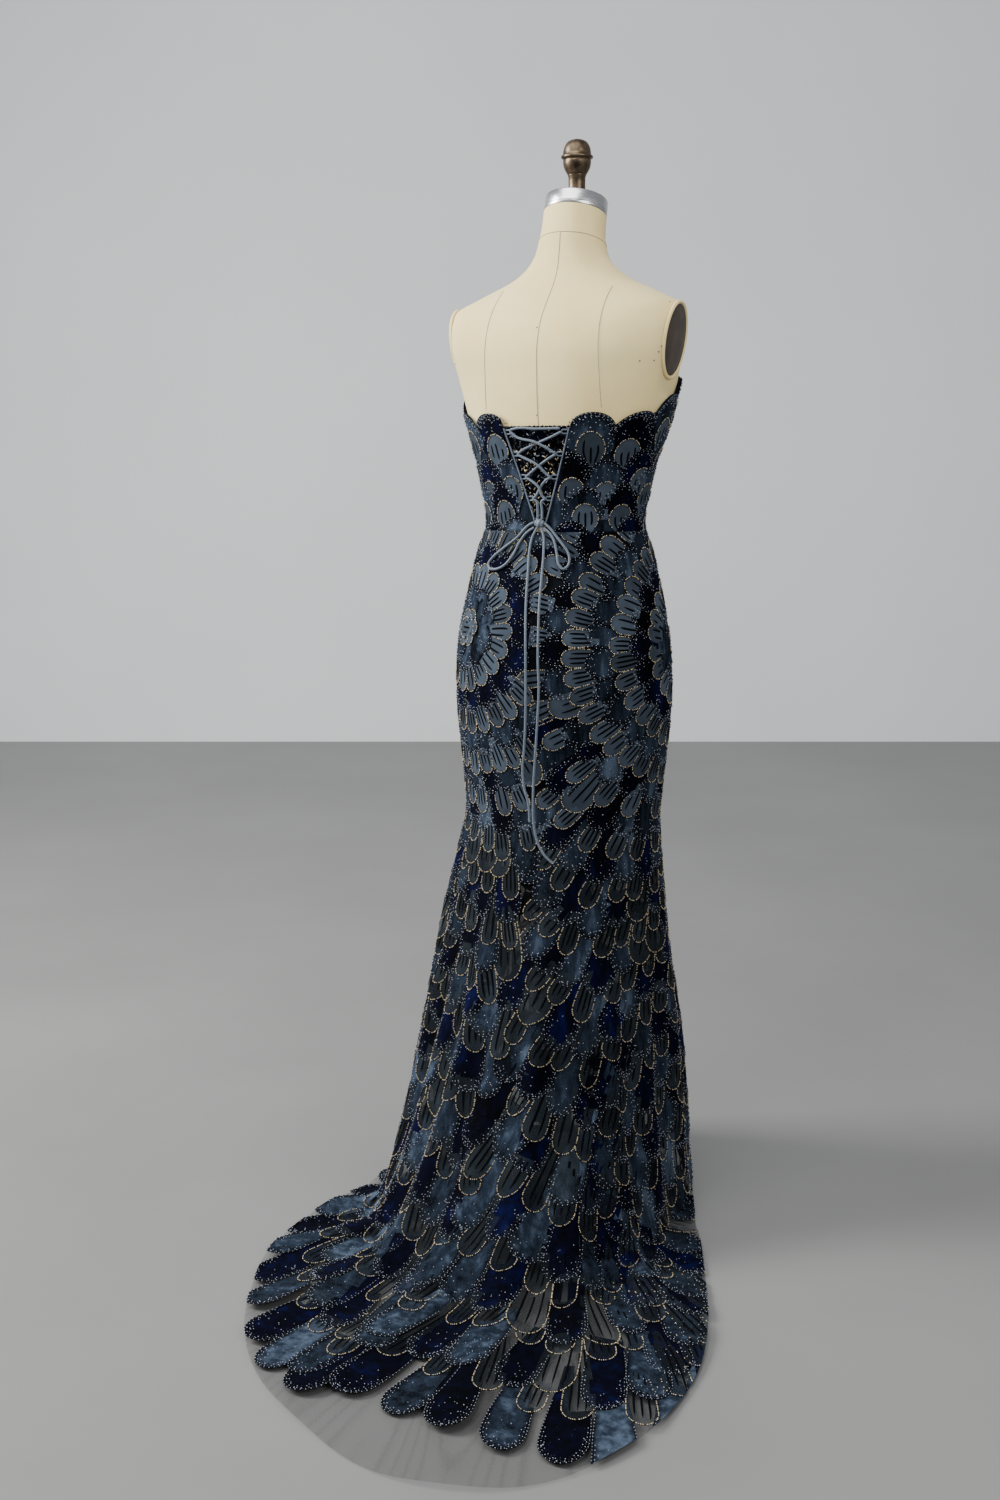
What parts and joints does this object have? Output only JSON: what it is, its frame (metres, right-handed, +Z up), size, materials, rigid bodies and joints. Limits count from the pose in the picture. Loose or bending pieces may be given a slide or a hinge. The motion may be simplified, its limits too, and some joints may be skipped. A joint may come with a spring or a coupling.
{
  "type": "evening dress on dress form",
  "caption": "Strapless fit-and-flare evening dress with a laced back and a train, on a limbless dress form with a pole stand.",
  "frame": {"origin": "Centre of the stand base's flat underside, on the pole's axis, at floor level", "axes": "+Z up, the front of the dress faces -Y, the train lies towards +Y, the wearer's left is +X"},
  "size_m": [0.6809, 1.0376, 1.6089],
  "materials": {
    "petal_tulle": "sheer slate tulle under cut petals",
    "navy_velvet": "short pile velvet with beads",
    "slate_velvet": "glittered velvet with beads",
    "sequin_mesh": "beaded mesh",
    "slate_cord": "satin cord",
    "form_linen": "cream linen",
    "arm_plate": "dark stained",
    "neck_steel": "brushed",
    "knob_bronze": "aged bronze",
    "stand_metal": "black satin paint"
  },
  "bodies": {
    "root": {"skirt_back_left": "petal_tulle", "skirt_back_right": "petal_tulle", "skirt_front": "petal_tulle", "bodice_front": "slate_velvet", "bodice_back_left": "navy_velvet", "bodice_back_right": "navy_velvet", "modesty_panel": "sequin_mesh", "lacing_first": "slate_cord", "lacing_second": "slate_cord", "lace_loop_left_1": "slate_cord", "lace_loop_left_2": "slate_cord", "lace_loop_left_3": "slate_cord", "lace_loop_left_4": "slate_cord", "lace_loop_right_1": "slate_cord", "lace_loop_right_2": "slate_cord", "lace_loop_right_3": "slate_cord", "lace_loop_right_4": "slate_cord", "bow_knot": "slate_cord", "bow_loop_left": "slate_cord", "bow_loop_right": "slate_cord", "tail_left": "slate_cord", "tail_right": "slate_cord", "form_torso": "form_linen", "arm_plate_left": "arm_plate", "arm_plate_right": "arm_plate", "neck_cap": "neck_steel", "knob": "knob_bronze", "stand_base": "stand_metal", "stand_pole": "stand_metal"}
  },
  "joints": []
}
